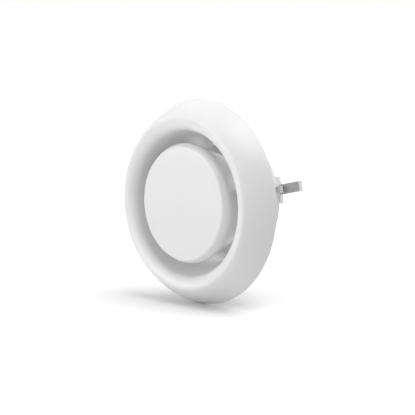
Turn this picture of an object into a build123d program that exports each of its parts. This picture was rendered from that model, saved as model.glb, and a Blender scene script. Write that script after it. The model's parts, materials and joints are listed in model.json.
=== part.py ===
"""Extract air valve for a round duct, in millimetres.

A bell-mouth collar with a neck carries a three-legged bridge. A hollow disc on a coarse-threaded
spindle screws in and out of the mouth through the bridge's hub, and a nut locks its setting.
Spring clips on the legs hold the valve in the duct.

The valve's axis is Y and its front faces -Y. Y = 0 is the plane of the collar's back rim, which
lies on the wall. Clock angles are seen from the front, and run from +Z towards +X.
"""
import os
from math import asin, atan2, cos, degrees, hypot, radians, sin, sqrt, tan

from build123d import *

os.makedirs("parts", exist_ok=True)

# Collar and neck
THROAT_RADIUS = 49.6
THROAT_DEPTH = 12.0
MOUTH_WIDTH = 17.9
LIP_RADIUS = 10.0
FLANK_WIDTH = 15.0
COLLAR_HEIGHT = 22.9
FLANK_FULLNESS = 0.24
COLLAR_WALL = 2.2
NECK_LENGTH = 24.2
RIB_COUNT = 12
RIB_THICKNESS = 1.4

# Foam gasket behind the rim
GASKET_WIDTH = 7.5
GASKET_THICKNESS = 4.0
GASKET_SIDE_GAP = 1.6

# Disc
DISC_SIDE_GAP = 1.5
DISC_SETBACK = 1.0
DISC_EDGE_RADIUS = 1.2
DISC_BEVEL_ANGLE = 32.0
DISC_SIDE_RADIUS = 6.1
DISC_SIDE_DEPTH = 6.5
DISC_DEPTH = 41.9
DISC_WALL = 2.2
SKIRT_TAPER = 19.0
BOSS_RADIUS = 11.0
BOSS_LENGTH = 18.0
DISC_RIB_COUNT = 6
DISC_RIB_THICKNESS = 1.6
DISC_RIB_HEIGHT = 10.0

# Spindle
SPINDLE_RADIUS = 5.0
SPINDLE_HEAD_ACROSS_FLATS = 14.0
SPINDLE_HEAD_THICKNESS = 5.0
SPINDLE_TIP_LENGTH = 3.0
SPINDLE_TIP_CHAMFER = 1.0
THREAD_FIT = 0.05
INSERT_FIT = 0.02

# Bridge
LEG_COUNT = 3
FIRST_LEG_CLOCK = 78.0
LEG_ANGLE = 24.0
LEG_LENGTH = 3.1
SHOULDER_THICKNESS = 2.6
BRIDGE_GAP = 1.0
ARM_WIDTH = 10.0
ARM_THICKNESS = 3.5
ARM_RIB_THICKNESS = 2.0
ARM_RIB_HEIGHT = 4.0
HUB_RADIUS = 11.0
HUB_FRONT_LENGTH = 6.0
HUB_BACK_LENGTH = 1.5
FOOT_ANGLE = 13.0
FOOT_LENGTH = 8.0
FOOT_THICKNESS = 1.6
FOOT_FIT = 0.05

# Spring clips
CLIP_WIDTH = 8.0
CLIP_THICKNESS = 0.8
CLIP_REACH = 21.5
CLIP_LIP = 3.0
CLIP_FLOOR = 0.7
CLIP_FIT = 0.1
CLIP_BEND = 0.5
CLIP_SETBACK = 2.4
NOSE_WIDTH = 5.6
NOSE_HEIGHT = 6.4
NOSE_LENGTH = 5.8
NOSE_RIB_COUNT = 3
NOSE_GROOVE_WIDTH = 0.9
NOSE_GROOVE_DEPTH = 0.6

# Lock nut, its washer and the end stop
NUT_ACROSS_FLATS = 17.0
NUT_THICKNESS = 8.0
NUT_CHAMFER = 30.0
WASHER_RADIUS = 10.0
WASHER_THICKNESS = 1.6
WASHER_FIT = 0.2
SEAT_GAP = 0.1
STOP_RADIUS = 9.0
STOP_THICKNESS = 1.2
STOP_GROOVE_DEPTH = 1.0
STOP_FIT = 0.06
STOP_MOUTH = 6.0

# Travel from the setting shown
NUT_TRAVEL = 4.0
OUTWARD_TRAVEL = 10.0

# Radii and places that follow from the sizes above
crest_radius = THROAT_RADIUS + MOUTH_WIDTH
collar_radius = crest_radius + FLANK_WIDTH
neck_radius = THROAT_RADIUS + COLLAR_WALL
neck_end = THROAT_DEPTH + NECK_LENGTH
gasket_radius = collar_radius - COLLAR_WALL - GASKET_SIDE_GAP
disc_radius = THROAT_RADIUS - DISC_SIDE_GAP
disc_front = DISC_SETBACK - COLLAR_HEIGHT
disc_widest = disc_front + DISC_SIDE_DEPTH
disc_back = disc_front + DISC_DEPTH
boss_end = disc_front + DISC_WALL + BOSS_LENGTH
inward_travel = THROAT_DEPTH - disc_widest
arm_front = disc_back + inward_travel + BRIDGE_GAP
arm_back = arm_front + ARM_THICKNESS
leg_end = neck_end + LEG_LENGTH
shoulder = arm_front - leg_end
shoulder_offset = SHOULDER_THICKNESS * sqrt(2)
hub_front = arm_front - HUB_FRONT_LENGTH
hub_back = arm_back + HUB_BACK_LENGTH
washer_front = hub_back + SEAT_GAP
nut_front = washer_front + WASHER_THICKNESS + SEAT_GAP
nut_back = nut_front + NUT_THICKNESS
stop_front = nut_back + NUT_TRAVEL + OUTWARD_TRAVEL + BRIDGE_GAP
stop_back = stop_front + STOP_THICKNESS
spindle_end = stop_back + SPINDLE_TIP_LENGTH
spindle_head_front = disc_front + 2 * DISC_WALL
clip_front = leg_end - CLIP_SETBACK
clip_back = clip_front + CLIP_THICKNESS
clip_root = THROAT_RADIUS + CLIP_FLOOR
clip_tip = neck_radius + CLIP_REACH
nose_end = clip_front - CLIP_FIT
nose_front = nose_end - NOSE_LENGTH
nose_rib_width = (NOSE_WIDTH - (NOSE_RIB_COUNT - 1) * NOSE_GROOVE_WIDTH) / NOSE_RIB_COUNT
nose_rib_pitch = nose_rib_width + NOSE_GROOVE_WIDTH
nose_rib_offsets = [(rib - (NOSE_RIB_COUNT - 1) / 2) * nose_rib_pitch for rib in range(NOSE_RIB_COUNT)]
leg_clocks = [FIRST_LEG_CLOCK + 360 / LEG_COUNT * leg for leg in range(LEG_COUNT)]


def cross_plane(depth):
    """Plane square to the axis, facing the back."""
    return Plane(origin=(0, depth, 0), x_dir=(1, 0, 0), z_dir=(0, 1, 0))


def spoke_plane(clock):
    """Plane through the axis, with x outwards at a clock angle and y along the axis."""
    turn = radians(clock)
    return Plane(origin=(0, 0, 0), x_dir=(sin(turn), 0, cos(turn)), z_dir=(-cos(turn), 0, sin(turn)))


def collar_skin(inset):
    """The collar's section line from rim over crest and lip to throat, set in from the outer skin."""
    rim = collar_radius - inset
    crest = inset - COLLAR_HEIGHT
    flank_reach = crest_radius + FLANK_FULLNESS * (rim - crest_radius)
    lip_centre = LIP_RADIUS - COLLAR_HEIGHT
    throat = THROAT_RADIUS + inset
    across = crest_radius - throat
    along = THROAT_DEPTH - lip_centre
    wall_slope = atan2(across, along) - asin((LIP_RADIUS - inset) / hypot(across, along))
    Bezier((rim, 0), (rim, FLANK_FULLNESS * crest), (flank_reach, crest), (crest_radius, crest))
    lip = CenterArc((crest_radius, lip_centre), LIP_RADIUS - inset, 270, degrees(wall_slope) - 90)
    Line(lip @ 1, (throat, THROAT_DEPTH))


def skirt_end(inset):
    """Radius of the disc's conical skirt at its back edge, set in from the outer skin."""
    slope = radians(SKIRT_TAPER)
    start_radius = disc_radius - DISC_SIDE_RADIUS + (DISC_SIDE_RADIUS - inset) * cos(slope)
    start_depth = disc_widest + (DISC_SIDE_RADIUS - inset) * sin(slope)
    return start_radius - (disc_back - start_depth) * tan(slope)


def disc_skin(inset):
    """The disc's section line from the middle of its face over the bevel and down the skirt."""
    face = disc_front + inset
    centre = (disc_radius - DISC_SIDE_RADIUS, disc_widest)
    turn = DISC_BEVEL_ANGLE + SKIRT_TAPER
    side = CenterArc(centre, DISC_SIDE_RADIUS - inset, -DISC_BEVEL_ANGLE, turn)
    bevel = side @ 0
    corner = bevel.X - (bevel.Y - face) * tan(radians(DISC_BEVEL_ANGLE))
    FilletPolyline((0, face), (corner, face), bevel, radius=DISC_EDGE_RADIUS)
    Line(side @ 1, (skirt_end(inset), disc_back))


def nose_section(inset):
    """Round-topped section line of the nose in front of a spring clip, set in from its ribs."""
    leg_core = neck_radius - COLLAR_WALL / 2
    base = neck_radius + FOOT_FIT
    top = neck_radius + NOSE_HEIGHT - inset
    front = nose_front + inset
    round_radius = (nose_end - front) / 2
    Polyline(
        (top - round_radius, nose_end),
        (leg_core, nose_end),
        (leg_core, neck_end),
        (base, neck_end),
        (base, front),
        (top - round_radius, front),
    )
    ThreePointArc((top - round_radius, front), (top, front + round_radius), (top - round_radius, nose_end))


# Collar: a thin bell open at the back, its neck, and the ribs that carry the gasket
with BuildPart() as collar:
    with BuildSketch(Plane.XY):
        with BuildLine():
            collar_skin(0)
            Polyline(
                (THROAT_RADIUS, THROAT_DEPTH),
                (THROAT_RADIUS, neck_end),
                (neck_radius, neck_end),
                (neck_radius, THROAT_DEPTH),
            )
            collar_skin(COLLAR_WALL)
            Line((collar_radius - COLLAR_WALL, 0), (collar_radius, 0))
        make_face()
    revolve(axis=Axis.Y)
    for rib in range(RIB_COUNT):
        with BuildSketch(spoke_plane(360 / RIB_COUNT * (rib + 0.5))):
            with BuildLine():
                collar_skin(COLLAR_WALL / 2)
                Line((collar_radius - COLLAR_WALL / 2, 0), (THROAT_RADIUS + COLLAR_WALL / 2, THROAT_DEPTH))
            make_face()
            with Locations((crest_radius, -GASKET_THICKNESS)):
                Rectangle(
                    2 * (MOUTH_WIDTH + FLANK_WIDTH),
                    COLLAR_HEIGHT,
                    align=(Align.CENTER, Align.MAX),
                    mode=Mode.INTERSECT,
                )
        extrude(amount=RIB_THICKNESS / 2, both=True)
collar.part.label = "collar"
export_step(collar.part, "parts/collar.step")

# Foam gasket: a flat ring that lies on the ribs, flush with the rim
with BuildPart() as gasket:
    with BuildSketch(cross_plane(-GASKET_THICKNESS)):
        Circle(gasket_radius)
        Circle(gasket_radius - GASKET_WIDTH, mode=Mode.SUBTRACT)
    extrude(amount=GASKET_THICKNESS)
gasket.part.label = "gasket"
export_step(gasket.part, "parts/gasket.step")

# Disc: a hollow dish with a conical skirt, and a ribbed boss moulded round the spindle's head
with BuildPart() as valve_disc:
    with BuildSketch(Plane.XY):
        with BuildLine():
            disc_skin(0)
            Line((skirt_end(0), disc_back), (skirt_end(DISC_WALL), disc_back))
            disc_skin(DISC_WALL)
            Line((0, disc_front + DISC_WALL), (0, disc_front))
        make_face()
    revolve(axis=Axis.Y)
    with BuildSketch(cross_plane(disc_front + DISC_WALL)):
        Circle(BOSS_RADIUS)
    extrude(amount=BOSS_LENGTH)
    for rib in range(DISC_RIB_COUNT):
        with BuildSketch(spoke_plane(360 / DISC_RIB_COUNT * rib)):
            with BuildLine():
                disc_skin(DISC_WALL / 2)
                Polyline(
                    (skirt_end(DISC_WALL / 2), disc_back),
                    (0, disc_back),
                    (0, disc_front + DISC_WALL / 2),
                )
            make_face()
            with Locations((BOSS_RADIUS - DISC_WALL, disc_front)):
                Rectangle(
                    disc_radius,
                    DISC_WALL + DISC_RIB_HEIGHT,
                    align=(Align.MIN, Align.MIN),
                    mode=Mode.INTERSECT,
                )
        extrude(amount=DISC_RIB_THICKNESS / 2, both=True)
    with BuildSketch(cross_plane(spindle_head_front - INSERT_FIT)):
        RegularPolygon(SPINDLE_HEAD_ACROSS_FLATS / 2 + INSERT_FIT, 6, major_radius=False)
    extrude(amount=SPINDLE_HEAD_THICKNESS + 2 * INSERT_FIT, mode=Mode.SUBTRACT)
    with BuildSketch(cross_plane(spindle_head_front)):
        Circle(SPINDLE_RADIUS + INSERT_FIT)
    extrude(amount=boss_end - spindle_head_front, mode=Mode.SUBTRACT)
valve_disc.part.label = "valve_disc"
export_step(valve_disc.part, "parts/valve_disc.step")

# Spindle: a six-sided head, a long round shank, and a groove near its tip for the end stop
with BuildPart() as spindle:
    with BuildSketch(cross_plane(spindle_head_front)):
        RegularPolygon(SPINDLE_HEAD_ACROSS_FLATS / 2, 6, major_radius=False)
    extrude(amount=SPINDLE_HEAD_THICKNESS)
    with BuildSketch(cross_plane(spindle_head_front)):
        Circle(SPINDLE_RADIUS)
    extrude(amount=spindle_end - spindle_head_front)
    chamfer(spindle.edges().sort_by(Axis.Y)[-1], SPINDLE_TIP_CHAMFER)
    with BuildSketch(cross_plane(stop_front - STOP_FIT)):
        Circle(SPINDLE_RADIUS + STOP_FIT)
        Circle(SPINDLE_RADIUS - STOP_GROOVE_DEPTH, mode=Mode.SUBTRACT)
    extrude(amount=STOP_THICKNESS + 2 * STOP_FIT, mode=Mode.SUBTRACT)
spindle.part.label = "spindle"
export_step(spindle.part, "parts/spindle.step")

# Bridge: curved legs that carry on the neck's wall, sloping shoulders, and ribbed arms to a bored hub
with BuildPart() as bridge:
    with BuildSketch(cross_plane(hub_front)):
        Circle(HUB_RADIUS)
    extrude(amount=hub_back - hub_front)
    for clock in leg_clocks:
        with BuildSketch(spoke_plane(clock - LEG_ANGLE / 2)):
            Polygon(
                (THROAT_RADIUS, neck_end),
                (neck_radius, neck_end),
                (neck_radius, leg_end + shoulder_offset - COLLAR_WALL),
                (THROAT_RADIUS - shoulder + shoulder_offset - ARM_THICKNESS, arm_back),
                (THROAT_RADIUS - shoulder - ARM_THICKNESS, arm_back),
                (THROAT_RADIUS - shoulder - ARM_THICKNESS, arm_front),
                (THROAT_RADIUS - shoulder, arm_front),
                (THROAT_RADIUS, leg_end),
                align=None,
            )
        revolve(axis=Axis.Y, revolution_arc=LEG_ANGLE)
        with BuildSketch(spoke_plane(clock - FOOT_ANGLE / 2)):
            Polygon(
                (neck_radius + FOOT_FIT, neck_end - FOOT_LENGTH),
                (neck_radius + FOOT_THICKNESS, neck_end - FOOT_LENGTH),
                (neck_radius + FOOT_THICKNESS, neck_end),
                (neck_radius - COLLAR_WALL / 2, neck_end + FOOT_THICKNESS + COLLAR_WALL / 2),
                (neck_radius - COLLAR_WALL / 2, neck_end),
                (neck_radius + FOOT_FIT, neck_end),
                align=None,
            )
        revolve(axis=Axis.Y, revolution_arc=FOOT_ANGLE)
        with BuildSketch(spoke_plane(clock)):
            Polygon(
                (SPINDLE_RADIUS, arm_front),
                (THROAT_RADIUS - shoulder, arm_front),
                (THROAT_RADIUS - shoulder, arm_back),
                (SPINDLE_RADIUS, arm_back),
                align=None,
            )
        extrude(amount=ARM_WIDTH / 2, both=True)
        with BuildSketch(spoke_plane(clock)):
            Polygon(
                (SPINDLE_RADIUS, arm_front),
                (SPINDLE_RADIUS, arm_front - ARM_RIB_HEIGHT),
                (skirt_end(DISC_WALL) - ARM_RIB_HEIGHT, arm_front),
                align=None,
            )
        extrude(amount=ARM_RIB_THICKNESS / 2, both=True)
        with BuildSketch(spoke_plane(clock)):
            with BuildLine():
                nose_section(NOSE_GROOVE_DEPTH)
            make_face()
        extrude(amount=NOSE_WIDTH / 2, both=True)
        for offset_along in nose_rib_offsets:
            with BuildSketch(spoke_plane(clock).offset(offset_along)):
                with BuildLine():
                    nose_section(0)
                make_face()
            extrude(amount=nose_rib_width / 2, both=True)
        with BuildSketch(spoke_plane(clock)):
            Polygon(
                (clip_root - CLIP_FIT, clip_front - CLIP_FIT),
                (clip_tip, clip_front - CLIP_FIT),
                (clip_tip, clip_back + CLIP_FIT),
                (clip_root - CLIP_FIT, clip_back + CLIP_FIT),
                align=None,
            )
        extrude(amount=CLIP_WIDTH / 2 + CLIP_FIT, both=True, mode=Mode.SUBTRACT)
    with BuildSketch(cross_plane(hub_front)):
        Circle(SPINDLE_RADIUS + THREAD_FIT)
    extrude(amount=hub_back - hub_front, mode=Mode.SUBTRACT)
bridge.part.label = "bridge"
export_step(bridge.part, "parts/bridge.step")

# Spring clips: a steel strip let into each leg behind its nose, with a lip bent back at the tip
for number, clock in enumerate(leg_clocks, start=1):
    with BuildPart() as spring_clip:
        with BuildSketch(spoke_plane(clock)):
            with BuildLine():
                FilletPolyline(
                    (clip_root, clip_front),
                    (clip_tip, clip_front),
                    (clip_tip, clip_back + CLIP_LIP),
                    radius=CLIP_BEND + CLIP_THICKNESS,
                )
                offset(amount=CLIP_THICKNESS, side=Side.LEFT)
            make_face()
        extrude(amount=CLIP_WIDTH / 2, both=True)
    spring_clip.part.label = f"spring_clip_{number}"
    export_step(spring_clip.part, f"parts/spring_clip_{number}.step")

# Lock washer: a flat ring between the hub and the nut
with BuildPart() as lock_washer:
    with BuildSketch(cross_plane(washer_front)):
        Circle(WASHER_RADIUS)
        Circle(SPINDLE_RADIUS + WASHER_FIT, mode=Mode.SUBTRACT)
    extrude(amount=WASHER_THICKNESS)
lock_washer.part.label = "lock_washer"
export_step(lock_washer.part, "parts/lock_washer.step")

# Lock nut: a six-sided nut with turned corners
with BuildPart() as lock_nut:
    with BuildSketch(cross_plane(nut_front)):
        RegularPolygon(NUT_ACROSS_FLATS / 2, 6, major_radius=False)
        Circle(SPINDLE_RADIUS + THREAD_FIT, mode=Mode.SUBTRACT)
    extrude(amount=NUT_THICKNESS)
    with BuildSketch(Plane.XY):
        corner_radius = NUT_ACROSS_FLATS / sqrt(3)
        corner_drop = (corner_radius - NUT_ACROSS_FLATS / 2) * tan(radians(NUT_CHAMFER))
        Polygon(
            (0, nut_front),
            (NUT_ACROSS_FLATS / 2, nut_front),
            (corner_radius, nut_front + corner_drop),
            (corner_radius, nut_back - corner_drop),
            (NUT_ACROSS_FLATS / 2, nut_back),
            (0, nut_back),
            align=None,
        )
    revolve(axis=Axis.Y, mode=Mode.INTERSECT)
lock_nut.part.label = "lock_nut"
export_step(lock_nut.part, "parts/lock_nut.step")

# End stop: an open retaining ring that turns freely in the spindle's groove
with BuildPart() as end_stop:
    with BuildSketch(cross_plane(stop_front)):
        Circle(STOP_RADIUS)
        Circle(SPINDLE_RADIUS - STOP_GROOVE_DEPTH + STOP_FIT, mode=Mode.SUBTRACT)
        with Locations((0, STOP_RADIUS)):
            Rectangle(STOP_MOUTH, 2 * STOP_RADIUS, mode=Mode.SUBTRACT)
    extrude(amount=STOP_THICKNESS)
end_stop.part.label = "end_stop"
export_step(end_stop.part, "parts/end_stop.step")
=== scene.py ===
"""Looks of the extract air valve: smooth mouldings, a cut thread, steel clips, finishes and a white stage.

The file is laid out as an add-on and run as a script. All sizes are in metres, in the frame of the packed
model: the valve's axis is Y, its front faces -Y, and the collar's back rim lies in the plane Y = 0.
"""

import json
import math

import bmesh
import bpy
from bpy.props import FloatProperty, FloatVectorProperty, IntProperty, PointerProperty
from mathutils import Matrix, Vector

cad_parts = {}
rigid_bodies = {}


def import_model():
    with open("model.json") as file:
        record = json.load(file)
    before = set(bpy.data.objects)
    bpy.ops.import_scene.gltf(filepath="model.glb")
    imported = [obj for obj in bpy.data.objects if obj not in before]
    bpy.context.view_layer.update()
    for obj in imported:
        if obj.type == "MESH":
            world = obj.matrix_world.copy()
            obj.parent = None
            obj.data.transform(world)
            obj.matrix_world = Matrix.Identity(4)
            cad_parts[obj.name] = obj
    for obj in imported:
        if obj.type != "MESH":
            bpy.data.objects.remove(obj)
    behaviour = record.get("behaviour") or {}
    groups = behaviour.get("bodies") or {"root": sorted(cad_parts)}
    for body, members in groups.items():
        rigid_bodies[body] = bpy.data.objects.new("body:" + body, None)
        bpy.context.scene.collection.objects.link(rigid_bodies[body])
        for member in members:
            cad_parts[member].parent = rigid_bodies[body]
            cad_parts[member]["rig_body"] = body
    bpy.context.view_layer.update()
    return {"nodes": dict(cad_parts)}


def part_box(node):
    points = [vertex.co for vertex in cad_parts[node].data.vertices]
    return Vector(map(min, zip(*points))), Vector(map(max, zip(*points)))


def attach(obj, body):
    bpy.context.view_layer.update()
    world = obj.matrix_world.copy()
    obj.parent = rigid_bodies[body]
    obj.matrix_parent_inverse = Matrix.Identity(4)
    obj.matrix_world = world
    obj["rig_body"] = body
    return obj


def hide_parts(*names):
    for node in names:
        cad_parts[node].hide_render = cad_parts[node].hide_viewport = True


bl_info = {
    "name": "Extract Air Valve",
    "version": (1, 0, 0),
    "blender": (4, 5, 0),
    "location": "View3D > Sidebar > Air Valve",
    "description": "Dresses the extract air valve's packed model and sets its stage",
    "category": "Object",
}

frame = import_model()

COLLAR_LOW, COLLAR_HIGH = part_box("collar")
DISC_LOW, DISC_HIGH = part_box("valve_disc")
GASKET_LOW, GASKET_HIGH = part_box("gasket")
SPINDLE_LOW, SPINDLE_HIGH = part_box("spindle")
STOP_LOW, STOP_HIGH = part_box("end_stop")

HEAD_SIDES = 6
NEAR_RIM = 4  # points from the rim to the one that gives its edge's round a direction
ON_AXIS = 1e-7
SMOOTH_ANGLE = math.radians(35)
EDGE_ANGLE = math.radians(40)


# Settings


class AirValveCollar(bpy.types.PropertyGroup):
    """Sizes of the bell-mouth collar's section"""

    radius: FloatProperty(
        name="Rim Radius", description="Radius of the back rim", default=COLLAR_HIGH.x, unit="LENGTH"
    )
    height: FloatProperty(
        name="Crest Height", description="Crest in front of the rim", default=-COLLAR_LOW.y, unit="LENGTH"
    )
    flank_width: FloatProperty(
        name="Flank Width", description="From crest out to rim", default=0.015, unit="LENGTH"
    )
    flank_fullness: FloatProperty(
        name="Flank Fullness", description="How far the flank bulges", default=0.24, subtype="FACTOR"
    )
    mouth_width: FloatProperty(
        name="Mouth Width", description="From crest in to throat", default=0.0179, unit="LENGTH"
    )
    lip_radius: FloatProperty(
        name="Lip Radius", description="Rounding from crest to mouth", default=0.01, unit="LENGTH"
    )
    throat_depth: FloatProperty(
        name="Throat Depth", description="Throat behind the rim plane", default=0.012, unit="LENGTH"
    )
    neck_end: FloatProperty(
        name="Neck End", description="Back end of the neck", default=COLLAR_HIGH.y, unit="LENGTH"
    )
    wall: FloatProperty(name="Wall", description="Wall of the moulding", default=0.0022, unit="LENGTH")
    edge: FloatProperty(name="Edge", description="Rounding of its edges", default=0.0006, unit="LENGTH")
    rib_count: IntProperty(name="Ribs", description="Ribs in the hollow back", default=12)
    rib_thickness: FloatProperty(
        name="Rib Thickness", description="Thickness of a rib", default=0.0014, unit="LENGTH"
    )
    gasket_width: FloatProperty(
        name="Gasket Width", description="Width of the foam ring", default=0.0075, unit="LENGTH"
    )
    segments: IntProperty(name="Segments", description="Steps round the axis", default=288)


class AirValveDisc(bpy.types.PropertyGroup):
    """Sizes of the hollow disc's section"""

    radius: FloatProperty(name="Radius", description="Widest radius", default=DISC_HIGH.x, unit="LENGTH")
    edge_length: FloatProperty(
        name="Edge Length", description="Length that the face's round takes", default=0.00155, unit="LENGTH"
    )
    bevel: FloatProperty(
        name="Bevel", description="Slope of the bevel", default=math.radians(32), subtype="ANGLE"
    )
    side_radius: FloatProperty(
        name="Side Radius", description="Round from bevel to skirt", default=0.0061, unit="LENGTH"
    )
    side_depth: FloatProperty(
        name="Side Depth", description="Widest place behind the face", default=0.0065, unit="LENGTH"
    )
    taper: FloatProperty(
        name="Skirt Taper", description="Slope of the skirt", default=math.radians(19), subtype="ANGLE"
    )
    wall: FloatProperty(name="Wall", description="Wall of the moulding", default=0.0022, unit="LENGTH")
    edge: FloatProperty(name="Edge", description="Rounding of the back edge", default=0.0006, unit="LENGTH")
    boss_radius: FloatProperty(
        name="Boss Radius", description="Boss round the spindle's head", default=0.011, unit="LENGTH"
    )
    boss_length: FloatProperty(
        name="Boss Length", description="Length of the boss", default=0.018, unit="LENGTH"
    )
    rib_count: IntProperty(name="Ribs", description="Ribs from boss to skirt", default=6)
    rib_thickness: FloatProperty(
        name="Rib Thickness", description="Thickness of a rib", default=0.0016, unit="LENGTH"
    )
    rib_height: FloatProperty(
        name="Rib Height", description="Height of a rib behind the face", default=0.01, unit="LENGTH"
    )
    segments: IntProperty(name="Segments", description="Steps round the axis", default=256)


class AirValveSpindle(bpy.types.PropertyGroup):
    """Sizes of the threaded spindle"""

    radius: FloatProperty(name="Radius", description="Outside of the thread", default=0.005, unit="LENGTH")
    pitch: FloatProperty(name="Pitch", description="Travel for one turn", default=0.004, unit="LENGTH")
    depth: FloatProperty(
        name="Thread Depth", description="Depth of the thread", default=0.0008, unit="LENGTH"
    )
    crest: FloatProperty(
        name="Crest", description="Half crest as a share of the pitch", default=0.14, subtype="FACTOR"
    )
    flank: FloatProperty(
        name="Flank", description="One flank as a share of the pitch", default=0.16, subtype="FACTOR"
    )
    steps_per_pitch: IntProperty(name="Steps", description="Steps along one pitch", default=16)
    head_length: FloatProperty(
        name="Head Length", description="Six-sided head in the boss", default=0.005, unit="LENGTH"
    )
    groove_depth: FloatProperty(
        name="Groove Depth", description="Groove for the end stop", default=0.001, unit="LENGTH"
    )
    chamfer: FloatProperty(name="Chamfer", description="Chamfer at the tip", default=0.001, unit="LENGTH")
    segments: IntProperty(name="Segments", description="Steps round the axis", default=48)


class AirValveFinish(bpy.types.PropertyGroup):
    """Colours of the finishes and broken edges of the solids"""

    plastic: FloatVectorProperty(
        name="White Plastic", description="Glossy mouldings", default=(0.84, 0.84, 0.84), subtype="COLOR"
    )
    screw: FloatVectorProperty(
        name="Screw Plastic", description="Spindle and nut", default=(0.72, 0.72, 0.71), subtype="COLOR"
    )
    steel: FloatVectorProperty(
        name="Spring Steel", description="Clips, washer, stop", default=(0.54, 0.54, 0.54), subtype="COLOR"
    )
    foam: FloatVectorProperty(
        name="Foam", description="Gasket", default=(0.5, 0.5, 0.5), subtype="COLOR"
    )
    moulded_edge: FloatProperty(
        name="Moulded Edge", description="Broken edge of bridge and nut", default=0.0003, unit="LENGTH"
    )
    steel_edge: FloatProperty(
        name="Steel Edge", description="Broken edge of the steel", default=0.00012, unit="LENGTH"
    )


class AirValveStage(bpy.types.PropertyGroup):
    """Camera, floor and light"""

    azimuth: FloatProperty(
        name="Azimuth", description="Camera's bearing", default=math.radians(45.98), subtype="ANGLE"
    )
    elevation: FloatProperty(
        name="Elevation", description="Camera's height angle", default=math.radians(6.53), subtype="ANGLE"
    )
    distance: FloatProperty(
        name="Distance", description="Camera to the valve's origin", default=1.0, unit="LENGTH"
    )
    lens: FloatProperty(name="Lens", description="Focal length in millimetres", default=107.87)
    sensor: FloatProperty(name="Sensor", description="Sensor width in millimetres", default=36.0)
    shift_x: FloatProperty(name="Shift X", description="Framing to the side", default=0.0147)
    shift_y: FloatProperty(name="Shift Y", description="Framing up or down", default=-0.0138)
    floor_reach: FloatProperty(
        name="Floor Reach", description="From the valve to the floor's edge", default=6.0, unit="LENGTH"
    )
    floor_bounce: FloatProperty(
        name="Floor Bounce", description="Share of the light that the floor throws back", default=0.8
    )
    floor_white: FloatProperty(
        name="Floor White", description="Part of the floor's white that is lit, as seen", default=0.86
    )
    # The glow is darkened by ambient occlusion within Contact Reach of the rim, which paints a contact
    # shade on the floor.
    floor_glow: FloatProperty(
        name="Floor Glow", description="Part of the floor's white that is its own, as seen", default=0.24
    )
    contact_reach: FloatProperty(
        name="Contact Reach", description="Reach of the shade at the rim", default=0.045, unit="LENGTH"
    )


# Section lines, as points (radius, depth along the axis)


def arc_points(centre, radius, start, end, steps):
    """Points along an arc, both ends included, with angles in degrees."""
    angles = [math.radians(start + (end - start) * step / steps) for step in range(steps + 1)]
    return [(centre[0] + radius * math.cos(a), centre[1] + radius * math.sin(a)) for a in angles]


def bezier_points(ends, steps):
    """Points along a cubic Bezier curve given by its four control points."""
    points = []
    for step in range(steps + 1):
        t = step / steps
        weights = ((1 - t) ** 3, 3 * (1 - t) ** 2 * t, 3 * (1 - t) * t**2, t**3)
        points.append(tuple(sum(w * p[axis] for w, p in zip(weights, ends)) for axis in (0, 1)))
    return points


def rounded_corner(before, corner, after, radius, steps=4):
    """Points of a small round in place of a corner."""
    here = Vector(corner)
    start = here + (Vector(before) - here).normalized() * radius
    end = here + (Vector(after) - here).normalized() * radius
    points = []
    for step in range(steps + 1):
        t = step / steps
        points.append(tuple((1 - t) ** 2 * start + 2 * t * (1 - t) * here + t**2 * end))
    return points


def collar_line(collar, inset, steps=48):
    """The collar's line from rim over crest and lip to throat, set in from its outer skin."""
    rim = collar.radius - inset
    crest_radius = collar.radius - collar.flank_width
    crest = inset - collar.height
    reach = crest_radius + collar.flank_fullness * (rim - crest_radius)
    flank = bezier_points(
        ((rim, 0), (rim, collar.flank_fullness * crest), (reach, crest), (crest_radius, crest)), steps
    )
    centre = (crest_radius, collar.lip_radius - collar.height)
    throat = (crest_radius - collar.mouth_width + inset, collar.throat_depth)
    across, along = centre[0] - throat[0], throat[1] - centre[1]
    lip_radius = collar.lip_radius - inset
    lean = math.asin(lip_radius / math.hypot(across, along)) - math.atan2(across, along)
    turn = 90 + math.degrees(lean)
    lip = arc_points(centre, lip_radius, 270, 270 - turn, steps)
    return flank + lip[1:] + [throat]


def disc_line(disc, inset, steps=24):
    """The disc's line from its face's edge over the bevel and down the skirt to the back edge."""
    face = DISC_LOW.y + inset
    centre = (disc.radius - disc.side_radius, DISC_LOW.y + disc.side_depth)
    start, end = -math.degrees(disc.bevel), math.degrees(disc.taper)
    side = arc_points(centre, disc.side_radius - inset, start, end, steps)
    corner = (side[0][0] - (side[0][1] - face) * math.tan(disc.bevel), face)
    edge = rounded_corner((0, face), corner, side[0], disc.edge_length, 8)
    reach = DISC_HIGH.y - side[-1][1]
    return edge + side + [(side[-1][0] - reach * math.tan(disc.taper), DISC_HIGH.y)]


def cut_line(line, limit):
    """The part of a line in front of a depth, with points where it crosses that depth."""
    kept = []
    for here, after in zip(line, line[1:] + line[-1:]):
        if here[1] <= limit:
            kept.append(here)
        if (here[1] - limit) * (after[1] - limit) < 0:
            share = (limit - here[1]) / (after[1] - here[1])
            kept.append((here[0] + share * (after[0] - here[0]), limit))
    return kept


# Mesh makers


def at_clock(radius, depth, clock):
    """A point at a radius and a clock angle, from +Z towards +X, in radians."""
    return Vector((radius * math.sin(clock), depth, radius * math.cos(clock)))


def ring(mesh, depth, radii):
    """Points round the axis at a depth, one for each of the radii."""
    turn = 2 * math.pi / len(radii)
    return [mesh.verts.new(at_clock(radius, depth, step * turn)) for step, radius in enumerate(radii)]


def plain_rings(mesh, section, segments):
    """A ring for each point of a section. A point on the axis stays one point."""
    return [ring(mesh, y, [r] * segments if r > ON_AXIS else [0]) for r, y in section]


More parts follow.
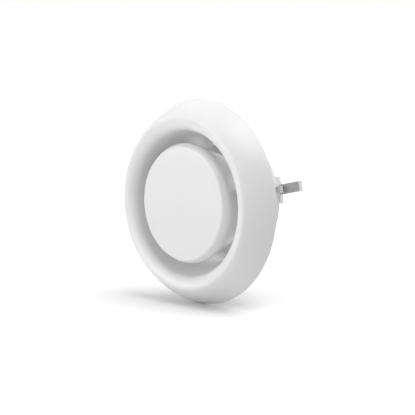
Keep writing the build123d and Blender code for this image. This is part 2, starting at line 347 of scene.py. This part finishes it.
def skin_rings(mesh, rings, closed=False):
    """Faces from each ring of points to the next, and in a closed set from the last to the first."""
    pairs = list(zip(rings, rings[1:]))
    if closed:
        pairs.append((rings[-1], rings[0]))
    for first, second in pairs:
        steps = max(len(first), len(second))
        for step in range(steps):
            after = (step + 1) % steps
            corners = [first[step % len(first)], first[after % len(first)]]
            corners += [second[after % len(second)], second[step % len(second)]]
            mesh.faces.new(list(dict.fromkeys(corners)))


def lathe(mesh, section, segments, closed):
    """Turns a section about the axis. A closed section makes a ring; an open one ends on the axis."""
    skin_rings(mesh, plain_rings(mesh, section, segments), closed)


def plate(mesh, sides):
    """A closed block between two loops of points."""
    mesh.faces.new(sides[0])
    mesh.faces.new(list(reversed(sides[1])))
    skin_rings(mesh, sides)


def spoke_plate(mesh, outline, clock, thickness):
    """A flat plate in the plane through the axis at a clock angle."""
    half = Vector((math.cos(clock), 0, -math.sin(clock))) * thickness / 2
    points = [at_clock(radius, depth, clock) for radius, depth in outline]
    plate(mesh, [[mesh.verts.new(point + side) for point in points] for side in (half, -half)])


def thread_radius(spindle, depth, turn):
    """Radius of the thread at a depth, and at a share of a turn round the axis."""
    phase = (depth / spindle.pitch - turn) % 1
    fall = (abs(phase - 0.5) - spindle.crest) / spindle.flank
    return spindle.radius - spindle.depth * max(0, min(1, fall))


def finish_piece(mesh, name, node, material):
    """Makes an object of the mesh, which stands for a CAD node and rides on its body."""
    bmesh.ops.recalc_face_normals(mesh, faces=mesh.faces)
    data = bpy.data.meshes.new(name)
    mesh.to_mesh(data)
    mesh.free()
    data.shade_smooth()
    data.set_sharp_from_angle(angle=SMOOTH_ANGLE)
    data.materials.append(material)
    piece = bpy.data.objects.new(name, data)
    bpy.context.scene.collection.objects.link(piece)
    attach(piece, frame["nodes"][node]["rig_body"])
    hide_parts(node)


def dress_node(node, material, bevel):
    """Gives a CAD node its finish, smooth shading and softly broken edges."""
    piece = frame["nodes"][node]
    piece.data.materials.clear()
    piece.data.materials.append(material)
    rounding = piece.modifiers.new("broken_edges", "BEVEL")
    rounding.width = bevel
    rounding.segments = 2
    rounding.limit_method = "ANGLE"
    rounding.angle_limit = EDGE_ANGLE
    piece.data.shade_smooth()
    piece.data.set_sharp_from_angle(angle=SMOOTH_ANGLE)


# Finishes


def new_finish(name):
    """A node material with its tree and shader, which are None where it was made before."""
    material = bpy.data.materials.get(name)
    if material:
        return material, None, None
    material = bpy.data.materials.new(name)
    material.use_nodes = True
    tree = material.node_tree
    return material, tree, tree.nodes["Principled BSDF"]


def noise(tree, scale, detail=2.0, roughness=0.5, stretch=(1, 1, 1)):
    """Noise in the object's own coordinates, with its scale in waves per metre."""
    place = tree.nodes.new("ShaderNodeTexCoord")
    mapping = tree.nodes.new("ShaderNodeMapping")
    mapping.inputs["Scale"].default_value = stretch
    wave = tree.nodes.new("ShaderNodeTexNoise")
    wave.inputs["Scale"].default_value = scale
    wave.inputs["Detail"].default_value = detail
    wave.inputs["Roughness"].default_value = roughness
    tree.links.new(place.outputs["Object"], mapping.inputs["Vector"])
    tree.links.new(mapping.outputs["Vector"], wave.inputs["Vector"])
    return wave.outputs["Fac"]


def ranged(tree, value, low, high):
    """Maps a 0 to 1 value to a range."""
    node = tree.nodes.new("ShaderNodeMapRange")
    node.inputs["To Min"].default_value = low
    node.inputs["To Max"].default_value = high
    tree.links.new(value, node.inputs["Value"])
    return node.outputs["Result"]


def tinted(tree, value, colour, spread):
    """A colour that varies in lightness by a small spread."""
    ramp = tree.nodes.new("ShaderNodeValToRGB")
    ramp.color_ramp.elements[0].color = (*[c * (1 - spread) for c in colour], 1)
    ramp.color_ramp.elements[1].color = (*[min(1, c * (1 + spread)) for c in colour], 1)
    tree.links.new(value, ramp.inputs["Fac"])
    return ramp.outputs["Color"]


def bumped(tree, shader, value, depth, strength=1.0):
    """Small relief of a real depth, in metres."""
    bump = tree.nodes.new("ShaderNodeBump")
    bump.inputs["Strength"].default_value = strength
    bump.inputs["Distance"].default_value = depth
    tree.links.new(value, bump.inputs["Height"])
    tree.links.new(bump.outputs["Normal"], shader.inputs["Normal"])


def white_plastic():
    """Glossy white moulding: faint flow shading and a very fine orange-peel skin."""
    material, tree, shader = new_finish("white_gloss_moulding")
    if tree:
        colour = bpy.context.scene.air_valve_finish.plastic
        flow = noise(tree, scale=45, detail=3)
        skin = noise(tree, scale=160, detail=3)
        tree.links.new(tinted(tree, flow, colour, spread=0.008), shader.inputs["Base Color"])
        tree.links.new(ranged(tree, skin, low=0.2, high=0.3), shader.inputs["Roughness"])
        shader.inputs["IOR"].default_value = 1.49
        bumped(tree, shader, noise(tree, scale=900), depth=0.00001, strength=0.35)
    return material


def screw_plastic():
    """Satin white moulding of the spindle and its nut."""
    material, tree, shader = new_finish("satin_screw_moulding")
    if tree:
        colour = bpy.context.scene.air_valve_finish.screw
        flow = noise(tree, scale=120, detail=3)
        skin = noise(tree, scale=400, detail=3)
        grain = noise(tree, scale=1800, detail=3)
        tree.links.new(tinted(tree, flow, colour, spread=0.03), shader.inputs["Base Color"])
        tree.links.new(ranged(tree, skin, low=0.35, high=0.5), shader.inputs["Roughness"])
        bumped(tree, shader, grain, depth=0.00003, strength=0.5)
    return material


def spring_steel():
    """Rolled spring strip: grey, with fine lines from the rolls."""
    material, tree, shader = new_finish("rolled_spring_steel")
    if tree:
        colour = bpy.context.scene.air_valve_finish.steel
        lines = noise(tree, scale=350, detail=4, roughness=0.6, stretch=(1, 1, 9))
        tree.links.new(tinted(tree, lines, colour, spread=0.12), shader.inputs["Base Color"])
        tree.links.new(ranged(tree, lines, low=0.26, high=0.42), shader.inputs["Roughness"])
        shader.inputs["Metallic"].default_value = 1.0
        bumped(tree, shader, lines, depth=0.00002, strength=0.4)
    return material


def gasket_foam():
    """Closed-cell foam: matt, with small cells cut open and painted shade in each cell's pit."""
    material, tree, shader = new_finish("closed_cell_foam")
    if tree:
        colour = bpy.context.scene.air_valve_finish.foam
        place = tree.nodes.new("ShaderNodeTexCoord")
        cells = tree.nodes.new("ShaderNodeTexVoronoi")
        cells.inputs["Scale"].default_value = 1400
        tree.links.new(place.outputs["Object"], cells.inputs["Vector"])
        wall = cells.outputs["Distance"]
        # Painted shade: the colour darkens towards each cell's middle, where the bump sinks into a pit.
        tree.links.new(tinted(tree, wall, colour, spread=0.2), shader.inputs["Base Color"])
        tree.links.new(ranged(tree, wall, low=0.8, high=1.0), shader.inputs["Roughness"])
        bumped(tree, shader, wall, depth=0.0003, strength=0.8)
    return material


# Pieces


class AirValveOperator(bpy.types.Operator):
    """Base of the operators that add the valve's pieces"""

    bl_options = {"REGISTER", "UNDO"}


class AIRVALVE_OT_collar(AirValveOperator):
    """Add the bell-mouth collar with its neck and ribs"""

    bl_idname = "air_valve.collar"
    bl_label = "Add Collar"

    def execute(self, context):
        collar = context.scene.air_valve_collar
        throat = collar.radius - collar.flank_width - collar.mouth_width
        neck = throat + collar.wall
        skin = collar_line(collar, 0)
        lining = collar_line(collar, collar.wall)
        lining.reverse()
        rim_outer, rim_inner = skin[0], lining[-1]
        end_inner, end_outer = (throat, collar.neck_end), (neck, collar.neck_end)
        section = rounded_corner(rim_inner, rim_outer, skin[NEAR_RIM], collar.edge)
        section += [p for p in skin[1:] if p[1] < -collar.edge or p[0] < collar.radius - collar.wall]
        section += rounded_corner(skin[-1], end_inner, end_outer, collar.edge)
        section += rounded_corner(end_inner, end_outer, lining[0], collar.edge)
        section += [p for p in lining[:-1] if p[1] < -collar.edge or p[0] < collar.radius - 2 * collar.wall]
        section += rounded_corner(lining[-1 - NEAR_RIM], rim_inner, rim_outer, collar.edge)
        mesh = bmesh.new()
        lathe(mesh, section, collar.segments, True)
        hollow = cut_line(collar_line(collar, collar.wall / 2), GASKET_LOW.y)
        for rib in range(collar.rib_count):
            clock = 2 * math.pi * (rib + 0.5) / collar.rib_count
            spoke_plate(mesh, hollow, clock, collar.rib_thickness)
        finish_piece(mesh, "bell_collar", "collar", white_plastic())
        return {"FINISHED"}


class AIRVALVE_OT_disc(AirValveOperator):
    """Add the hollow disc with its skirt, boss and ribs"""

    bl_idname = "air_valve.disc"
    bl_label = "Add Disc"

    def execute(self, context):
        disc = context.scene.air_valve_disc
        bore = context.scene.air_valve_spindle.radius
        face = DISC_LOW.y
        lining_face = face + disc.wall
        boss_end = lining_face + disc.boss_length
        skin = disc_line(disc, 0)
        lining = disc_line(disc, disc.wall)
        lining.reverse()
        section = [(0, face)] + skin[:-1]
        section += rounded_corner(skin[-2], skin[-1], lining[0], disc.edge)
        section += rounded_corner(skin[-1], lining[0], lining[1], disc.edge)
        section += lining[1:]
        foot, rim = (disc.boss_radius, lining_face), (disc.boss_radius, boss_end)
        section += [foot] + rounded_corner(foot, rim, (bore, boss_end), disc.edge)
        section += [(bore, boss_end), (bore, lining_face), (0, lining_face)]
        mesh = bmesh.new()
        lathe(mesh, section, disc.segments, False)
        top = lining_face + disc.rib_height
        root = disc.boss_radius - disc.wall
        middle = cut_line(disc_line(disc, disc.wall / 2), top)
        outline = [(root, face + disc.wall / 2), *middle, (root, top)]
        for rib in range(disc.rib_count):
            spoke_plate(mesh, outline, 2 * math.pi * rib / disc.rib_count, disc.rib_thickness)
        finish_piece(mesh, "hollow_disc", "valve_disc", white_plastic())
        return {"FINISHED"}


class AIRVALVE_OT_spindle(AirValveOperator):
    """Add the spindle with its coarse right-hand thread"""

    bl_idname = "air_valve.spindle"
    bl_label = "Add Spindle"

    def execute(self, context):
        spindle = context.scene.air_valve_spindle
        radius, segments = spindle.radius, spindle.segments
        head_end = SPINDLE_LOW.y + spindle.head_length
        thread_end = STOP_LOW.y - spindle.pitch / 2
        groove = radius - spindle.groove_depth
        tip = SPINDLE_HIGH.y
        mesh = bmesh.new()
        corners = [2 * math.pi * corner / HEAD_SIDES + math.pi / 2 for corner in range(HEAD_SIDES)]
        ends = (SPINDLE_LOW.y, head_end)
        plate(mesh, [[mesh.verts.new(at_clock(SPINDLE_HIGH.x, y, c)) for c in corners] for y in ends])
        rings = plain_rings(mesh, [(0, head_end), (radius, head_end)], segments)
        step = spindle.pitch / spindle.steps_per_pitch
        turns = [turn / segments for turn in range(segments)]
        for row in range(int((thread_end - head_end) / step) + 1):
            depth = head_end + row * step
            rings.append(ring(mesh, depth, [thread_radius(spindle, depth, turn) for turn in turns]))
        tail = [(radius, thread_end), (radius, STOP_LOW.y), (groove, STOP_LOW.y), (groove, STOP_HIGH.y)]
        tail += [(radius, STOP_HIGH.y), (radius, tip - spindle.chamfer)]
        tail += [(radius - spindle.chamfer, tip), (0, tip)]
        rings += plain_rings(mesh, tail, segments)
        skin_rings(mesh, rings)
        finish_piece(mesh, "threaded_spindle", "spindle", screw_plastic())
        return {"FINISHED"}


class AIRVALVE_OT_gasket(AirValveOperator):
    """Add the foam gasket behind the rim"""

    bl_idname = "air_valve.gasket"
    bl_label = "Add Gasket"

    def execute(self, context):
        collar = context.scene.air_valve_collar
        outer, inner = GASKET_HIGH.x, GASKET_HIGH.x - collar.gasket_width
        front, back = GASKET_LOW.y, GASKET_HIGH.y
        corners = [(outer, front), (outer, back), (inner, back), (inner, front)]
        section = []
        for place, corner in enumerate(corners):
            after = corners[(place + 1) % len(corners)]
            section += rounded_corner(corners[place - 1], corner, after, collar.edge)
        mesh = bmesh.new()
        lathe(mesh, section, collar.segments, True)
        finish_piece(mesh, "foam_gasket", "gasket", gasket_foam())
        return {"FINISHED"}


class AIRVALVE_OT_bridge(AirValveOperator):
    """Finish the three-legged bridge"""

    bl_idname = "air_valve.bridge"
    bl_label = "Finish Bridge"

    def execute(self, context):
        dress_node("bridge", white_plastic(), context.scene.air_valve_finish.moulded_edge)
        return {"FINISHED"}


class AIRVALVE_OT_clips(AirValveOperator):
    """Finish the spring clips, washer and end stop"""

    bl_idname = "air_valve.clips"
    bl_label = "Finish Steel Pieces"

    def execute(self, context):
        for node in ("spring_clip_1", "spring_clip_2", "spring_clip_3", "lock_washer", "end_stop"):
            dress_node(node, spring_steel(), context.scene.air_valve_finish.steel_edge)
        return {"FINISHED"}


class AIRVALVE_OT_nut(AirValveOperator):
    """Finish the lock nut"""

    bl_idname = "air_valve.nut"
    bl_label = "Finish Lock Nut"

    def execute(self, context):
        dress_node("lock_nut", screw_plastic(), context.scene.air_valve_finish.moulded_edge)
        return {"FINISHED"}


# Stage


# Soft lamps: name, bearing and height in degrees, apparent width in degrees, strength
LAMPS = (
    ("front_low", -24, 8, 60, 2.26),
    ("front_mid", -20, 40, 50, 0.14),
    ("back_low", 170, 8, 40, 0.8),
    ("back_high", -170, 55, 90, 0.4),
    ("right_high", 118, 62, 60, 1.3),
    ("right_top", 90, 72, 40, 0.4),
    ("overhead", 0, 88, 80, 0.7),
)


def direction(bearing, height):
    """Unit vector from the valve towards a bearing, from -Y towards +X, and a height angle."""
    across = math.cos(height)
    return Vector((math.sin(bearing) * across, -math.cos(bearing) * across, math.sin(height)))


def aim(thing, toward):
    """Turns a lamp or camera that stands in a direction, so that it looks back at the valve."""
    thing.rotation_mode = "QUATERNION"
    thing.rotation_quaternion = (-toward).to_track_quat("-Z", "Y")


def seen_rays(tree):
    """1 for the rays that show the background: the camera's own, and those that gloss and glass pass on."""
    path = tree.nodes.new("ShaderNodeLightPath")
    seen = path.outputs["Is Camera Ray"]
    for kind in ("Is Glossy Ray", "Is Transmission Ray"):
        either = tree.nodes.new("ShaderNodeMath")
        either.operation = "MAXIMUM"
        tree.links.new(seen, either.inputs[0])
        tree.links.new(path.outputs[kind], either.inputs[1])
        seen = either.outputs["Value"]
    return seen


def floor_finish(stage):
    """White card that is seen as white, with the valve's shadow and a soft painted shade where the rim
    stands.
    """
    material = bpy.data.materials.new("white_floor")
    material.use_nodes = True
    tree = material.node_tree
    tree.nodes.clear()
    card = tree.nodes.new("ShaderNodeBsdfDiffuse")
    card.inputs["Color"].default_value = (*[stage.floor_bounce] * 3, 1)
    lit = tree.nodes.new("ShaderNodeBsdfDiffuse")
    lit.inputs["Color"].default_value = (*[stage.floor_white] * 3, 1)
    # Painted shade: ambient occlusion darkens the glow that the camera sees, near where the rim stands.
    contact = tree.nodes.new("ShaderNodeAmbientOcclusion")
    contact.inputs["Distance"].default_value = stage.contact_reach
    share = tree.nodes.new("ShaderNodeMath")
    share.operation = "MULTIPLY"
    share.inputs[1].default_value = stage.floor_glow
    glow = tree.nodes.new("ShaderNodeEmission")
    add = tree.nodes.new("ShaderNodeAddShader")
    mix = tree.nodes.new("ShaderNodeMixShader")
    out = tree.nodes.new("ShaderNodeOutputMaterial")
    tree.links.new(contact.outputs["AO"], share.inputs[0])
    tree.links.new(share.outputs["Value"], glow.inputs["Strength"])
    tree.links.new(lit.outputs["BSDF"], add.inputs[0])
    tree.links.new(glow.outputs["Emission"], add.inputs[1])
    tree.links.new(seen_rays(tree), mix.inputs["Fac"])
    tree.links.new(card.outputs["BSDF"], mix.inputs[1])
    tree.links.new(add.outputs["Shader"], mix.inputs[2])
    tree.links.new(mix.outputs["Shader"], out.inputs["Surface"])
    return material


def white_world():
    """A backdrop that is seen as white and gives no light of its own."""
    world = bpy.data.worlds.new("white_room")
    world.use_nodes = True
    tree = world.node_tree
    backdrop = tree.nodes["Background"]
    backdrop.inputs["Color"].default_value = (1, 1, 1, 1)
    tree.links.new(seen_rays(tree), backdrop.inputs["Strength"])
    return world


class AIRVALVE_OT_stage(AirValveOperator):
    """Add the white floor, the light and the camera"""

    bl_idname = "air_valve.stage"
    bl_label = "Set Stage"

    def execute(self, context):
        stage = context.scene.air_valve_stage
        scene = context.scene
        mesh = bmesh.new()
        bmesh.ops.create_grid(mesh, x_segments=1, y_segments=1, size=stage.floor_reach)
        data = bpy.data.meshes.new("floor")
        mesh.to_mesh(data)
        mesh.free()
        data.materials.append(floor_finish(stage))
        floor = bpy.data.objects.new("floor", data)
        floor.location = (0, 0, COLLAR_LOW.z)
        scene.collection.objects.link(floor)

        scene.world = white_world()
        for name, bearing, height, width, strength in LAMPS:
            data = bpy.data.lights.new(name, "SUN")
            data.energy = strength
            data.angle = math.radians(width)
            lamp = bpy.data.objects.new(name, data)
            aim(lamp, direction(math.radians(bearing), math.radians(height)))
            scene.collection.objects.link(lamp)

        away = direction(stage.azimuth, stage.elevation)
        data = bpy.data.cameras.new("camera")
        data.lens = stage.lens
        data.sensor_width = stage.sensor
        data.shift_x = stage.shift_x
        data.shift_y = stage.shift_y
        data.clip_start = 0.01
        camera = bpy.data.objects.new("camera", data)
        camera.location = away * stage.distance
        aim(camera, away)
        scene.collection.objects.link(camera)
        scene.camera = camera
        scene.view_settings.view_transform = "Standard"
        return {"FINISHED"}


class AIRVALVE_PT_panel(bpy.types.Panel):
    """The valve's pieces and settings"""

    bl_idname = "AIRVALVE_PT_panel"
    bl_label = "Extract Air Valve"
    bl_space_type = "VIEW_3D"
    bl_region_type = "UI"
    bl_category = "Air Valve"

    def draw(self, context):
        for operator in OPERATORS:
            self.layout.operator(operator.bl_idname)
        for name, group in SETTINGS.items():
            box = self.layout.box()
            box.label(text=group.__doc__)
            for setting in group.__annotations__:
                box.prop(getattr(context.scene, name), setting)


SETTINGS = {
    "air_valve_collar": AirValveCollar,
    "air_valve_disc": AirValveDisc,
    "air_valve_spindle": AirValveSpindle,
    "air_valve_finish": AirValveFinish,
    "air_valve_stage": AirValveStage,
}
OPERATORS = (
    AIRVALVE_OT_collar,
    AIRVALVE_OT_disc,
    AIRVALVE_OT_bridge,
    AIRVALVE_OT_clips,
    AIRVALVE_OT_spindle,
    AIRVALVE_OT_nut,
    AIRVALVE_OT_gasket,
    AIRVALVE_OT_stage,
)


def register():
    """Registers the settings, operators and panel."""
    for name, group in SETTINGS.items():
        bpy.utils.register_class(group)
        setattr(bpy.types.Scene, name, PointerProperty(type=group))
    for operator in OPERATORS:
        bpy.utils.register_class(operator)
    bpy.utils.register_class(AIRVALVE_PT_panel)


def unregister():
    """Takes them out again."""
    bpy.utils.unregister_class(AIRVALVE_PT_panel)
    for operator in reversed(OPERATORS):
        bpy.utils.unregister_class(operator)
    for name, group in reversed(SETTINGS.items()):
        delattr(bpy.types.Scene, name)
        bpy.utils.unregister_class(group)


def main():
    register()
    bpy.ops.air_valve.collar()
    bpy.ops.air_valve.disc()
    bpy.ops.air_valve.bridge()
    bpy.ops.air_valve.clips()
    bpy.ops.air_valve.spindle()
    bpy.ops.air_valve.nut()
    bpy.ops.air_valve.gasket()
    bpy.ops.air_valve.stage()


if __name__ == "__main__":
    main()
